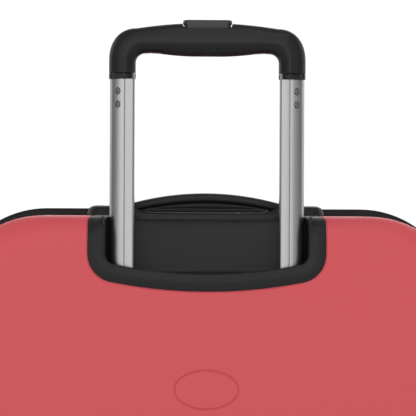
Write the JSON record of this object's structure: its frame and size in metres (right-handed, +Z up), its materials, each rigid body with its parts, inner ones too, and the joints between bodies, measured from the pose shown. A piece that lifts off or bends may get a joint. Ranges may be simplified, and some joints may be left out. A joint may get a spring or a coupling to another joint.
{
  "type": "suitcase",
  "caption": "Hard shell suitcase on swivelling double casters, with a telescopic pull handle in a recessed cup, a zip round the middle, carry handles and a combination lock.",
  "frame": {"origin": "on the floor under the middle of the case's box", "axes": "+Z up, -Y out of the back that carries the pull handle, +X towards the side with the lock and side handle"},
  "size_m": [0.482, 0.2665, 0.8223],
  "materials": {
    "red_shell": "fine satin grain",
    "black_band": "satin moulded",
    "zip_fabric": "woven zip tape",
    "black_plastic": "fine moulded grain",
    "anodised_tube": "satin anodised",
    "grip_plastic": "soft satin",
    "grip_soft": "soft touch",
    "button_plastic": "satin moulded",
    "steel": "zinc plated",
    "zip_metal": "dark lacquered",
    "lock_plastic": "satin moulded",
    "feet_plastic": "moulded",
    "lining_fabric": "woven polyester",
    "pocket_mesh": "knitted mesh",
    "strap_webbing": "woven webbing",
    "caster_plastic": "moulded",
    "wheel_tyre": "dull polyurethane"
  },
  "bodies": {
    "rear_case": {"rear_shell": "red_shell", "rear_edge_band": "black_band", "rear_zip_tape": "zip_fabric", "hinge_tape": "zip_fabric", "handle_cup": "black_plastic", "outer_tubes": "anodised_tube", "tube_bushes": "black_plastic", "tube_foot_bracket": "black_plastic", "rear_case_screws": "steel", "top_handle_base": "black_plastic", "side_handle_base": "black_plastic", "lock_body": "lock_plastic", "key_cylinder": "steel", "rear_side_feet": "feet_plastic", "rear_wheel_housings": "black_plastic", "rear_lining": "lining_fabric", "packing_straps": "strap_webbing", "strap_buckle": "black_plastic"},
    "trolley_handle": {"inner_tubes": "anodised_tube", "grip_body": "grip_plastic", "grip_collars": "grip_plastic", "grip_pad": "grip_soft", "tube_rivets": "steel", "tube_end_blocks": "black_plastic", "button_spring": "steel"},
    "grip_button": {"grip_button": "button_plastic", "push_yoke": "button_plastic", "push_rods": "steel"},
    "left_lock_pin": {"left_lock_pin": "steel"},
    "right_lock_pin": {"right_lock_pin": "steel"},
    "top_carry_handle": {"top_handle_grip": "grip_plastic"},
    "side_carry_handle": {"side_handle_grip": "grip_plastic"},
    "front_case": {"front_shell": "red_shell", "front_edge_band": "black_band", "front_zip_tape": "zip_fabric", "front_lining": "lining_fabric", "mesh_pocket": "pocket_mesh", "front_side_feet": "feet_plastic", "front_wheel_housings": "black_plastic", "front_case_screws": "steel"},
    "upper_zip_slider": {"upper_zip_slider": "zip_metal"},
    "lower_zip_slider": {"lower_zip_slider": "zip_metal"},
    "upper_zip_pull": {"upper_zip_pull": "zip_metal"},
    "lower_zip_pull": {"lower_zip_pull": "zip_metal"},
    "lock_dial_1": {"lock_dial_1": "lock_plastic"},
    "lock_dial_2": {"lock_dial_2": "lock_plastic"},
    "lock_dial_3": {"lock_dial_3": "lock_plastic"},
    "lock_button": {"lock_button": "button_plastic"},
    "rear_left_caster": {"rear_left_caster_fork": "caster_plastic"},
    "rear_left_outer_wheel": {"rear_left_outer_wheel": "wheel_tyre"},
    "rear_left_inner_wheel": {"rear_left_inner_wheel": "wheel_tyre"},
    "rear_right_caster": {"rear_right_caster_fork": "caster_plastic"},
    "rear_right_outer_wheel": {"rear_right_outer_wheel": "wheel_tyre"},
    "rear_right_inner_wheel": {"rear_right_inner_wheel": "wheel_tyre"},
    "front_left_caster": {"front_left_caster_fork": "caster_plastic"},
    "front_left_outer_wheel": {"front_left_outer_wheel": "wheel_tyre"},
    "front_left_inner_wheel": {"front_left_inner_wheel": "wheel_tyre"},
    "front_right_caster": {"front_right_caster_fork": "caster_plastic"},
    "front_right_outer_wheel": {"front_right_outer_wheel": "wheel_tyre"},
    "front_right_inner_wheel": {"front_right_inner_wheel": "wheel_tyre"}
  },
  "joints": [
    {"name": "handle_extend", "type": "slide", "parent": "rear_case", "child": "trolley_handle", "axis": [0, 0, 1], "range_m": [-0.167, 0.215]},
    {"name": "grip_button_press", "type": "slide", "parent": "trolley_handle", "child": "grip_button", "axis": [0, 0, -1], "range_m": [0, 0.004], "stiffness_N_per_m": 900, "springref_m": -0.004, "deforming": ["button_spring"]},
    {"name": "left_pin_slide", "type": "slide", "parent": "trolley_handle", "child": "left_lock_pin", "axis": [1, 0, 0], "range_m": [0, 0.0016]},
    {"name": "right_pin_slide", "type": "slide", "parent": "trolley_handle", "child": "right_lock_pin", "axis": [-1, 0, 0], "range_m": [0, 0.0016]},
    {"name": "top_handle_lift", "type": "slide", "parent": "rear_case", "child": "top_carry_handle", "axis": [0, 0, 1], "range_m": [0, 0.014], "stiffness_N_per_m": 300, "springref_m": -0.005},
    {"name": "side_handle_lift", "type": "slide", "parent": "rear_case", "child": "side_carry_handle", "axis": [1, 0, 0], "range_m": [0, 0.014], "stiffness_N_per_m": 300, "springref_m": -0.005},
    {"name": "case_hinge", "type": "hinge", "parent": "rear_case", "child": "front_case", "pos_m": [-0.23725, 0, 0.36], "axis": [0, 0, 1], "range_deg": [0, 180]},
    {"name": "upper_slider_run", "type": "slide", "parent": "rear_case", "child": "upper_zip_slider", "axis": [0, 0, 1], "range_m": [0, 0.036]},
    {"name": "lower_slider_run", "type": "slide", "parent": "rear_case", "child": "lower_zip_slider", "axis": [0, 0, -1], "range_m": [0, 0.24]},
    {"name": "upper_pull_swing", "type": "hinge", "parent": "upper_zip_slider", "child": "upper_zip_pull", "pos_m": [0.2391, 0, 0.52], "axis": [0, -1, 0], "range_deg": [0, 170]},
    {"name": "lower_pull_swing", "type": "hinge", "parent": "lower_zip_slider", "child": "lower_zip_pull", "pos_m": [0.2391, 0, 0.41], "axis": [0, -1, 0], "range_deg": [0, 170]},
    {"name": "lock_button_press", "type": "slide", "parent": "rear_case", "child": "lock_button", "axis": [-1, 0, 0], "range_m": [0, 0.0025], "stiffness_N_per_m": 500, "springref_m": -0.003},
    {"name": "dial_1_turn", "type": "hinge", "parent": "rear_case", "child": "lock_dial_1", "pos_m": [0.23, -0.032, 0.478], "axis": [0, 0, 1], "continuous": true},
    {"name": "dial_2_turn", "type": "hinge", "parent": "rear_case", "child": "lock_dial_2", "pos_m": [0.23, -0.032, 0.487], "axis": [0, 0, 1], "continuous": true},
    {"name": "dial_3_turn", "type": "hinge", "parent": "rear_case", "child": "lock_dial_3", "pos_m": [0.23, -0.032, 0.496], "axis": [0, 0, 1], "continuous": true},
    {"name": "rear_left_swivel", "type": "hinge", "parent": "rear_case", "child": "rear_left_caster", "pos_m": [-0.185, -0.085, 0.056], "axis": [0, 0, 1], "continuous": true},
    {"name": "rear_left_outer_roll", "type": "hinge", "parent": "rear_left_caster", "child": "rear_left_outer_wheel", "pos_m": [-0.185, -0.071, 0.024], "axis": [1, 0, 0], "continuous": true},
    {"name": "rear_left_inner_roll", "type": "hinge", "parent": "rear_left_caster", "child": "rear_left_inner_wheel", "pos_m": [-0.185, -0.071, 0.024], "axis": [1, 0, 0], "continuous": true},
    {"name": "rear_right_swivel", "type": "hinge", "parent": "rear_case", "child": "rear_right_caster", "pos_m": [0.185, -0.085, 0.056], "axis": [0, 0, 1], "continuous": true},
    {"name": "rear_right_outer_roll", "type": "hinge", "parent": "rear_right_caster", "child": "rear_right_outer_wheel", "pos_m": [0.185, -0.071, 0.024], "axis": [1, 0, 0], "continuous": true},
    {"name": "rear_right_inner_roll", "type": "hinge", "parent": "rear_right_caster", "child": "rear_right_inner_wheel", "pos_m": [0.185, -0.071, 0.024], "axis": [1, 0, 0], "continuous": true},
    {"name": "front_left_swivel", "type": "hinge", "parent": "front_case", "child": "front_left_caster", "pos_m": [-0.185, 0.085, 0.056], "axis": [0, 0, 1], "continuous": true},
    {"name": "front_left_outer_roll", "type": "hinge", "parent": "front_left_caster", "child": "front_left_outer_wheel", "pos_m": [-0.185, 0.099, 0.024], "axis": [1, 0, 0], "continuous": true},
    {"name": "front_left_inner_roll", "type": "hinge", "parent": "front_left_caster", "child": "front_left_inner_wheel", "pos_m": [-0.185, 0.099, 0.024], "axis": [1, 0, 0], "continuous": true},
    {"name": "front_right_swivel", "type": "hinge", "parent": "front_case", "child": "front_right_caster", "pos_m": [0.185, 0.085, 0.056], "axis": [0, 0, 1], "continuous": true},
    {"name": "front_right_outer_roll", "type": "hinge", "parent": "front_right_caster", "child": "front_right_outer_wheel", "pos_m": [0.185, 0.099, 0.024], "axis": [1, 0, 0], "continuous": true},
    {"name": "front_right_inner_roll", "type": "hinge", "parent": "front_right_caster", "child": "front_right_inner_wheel", "pos_m": [0.185, 0.099, 0.024], "axis": [1, 0, 0], "continuous": true}
  ],
  "couplings": [
    {"joint": "left_pin_slide", "follows": "grip_button_press", "ratio": 0.4},
    {"joint": "right_pin_slide", "follows": "grip_button_press", "ratio": 0.4}
  ]
}
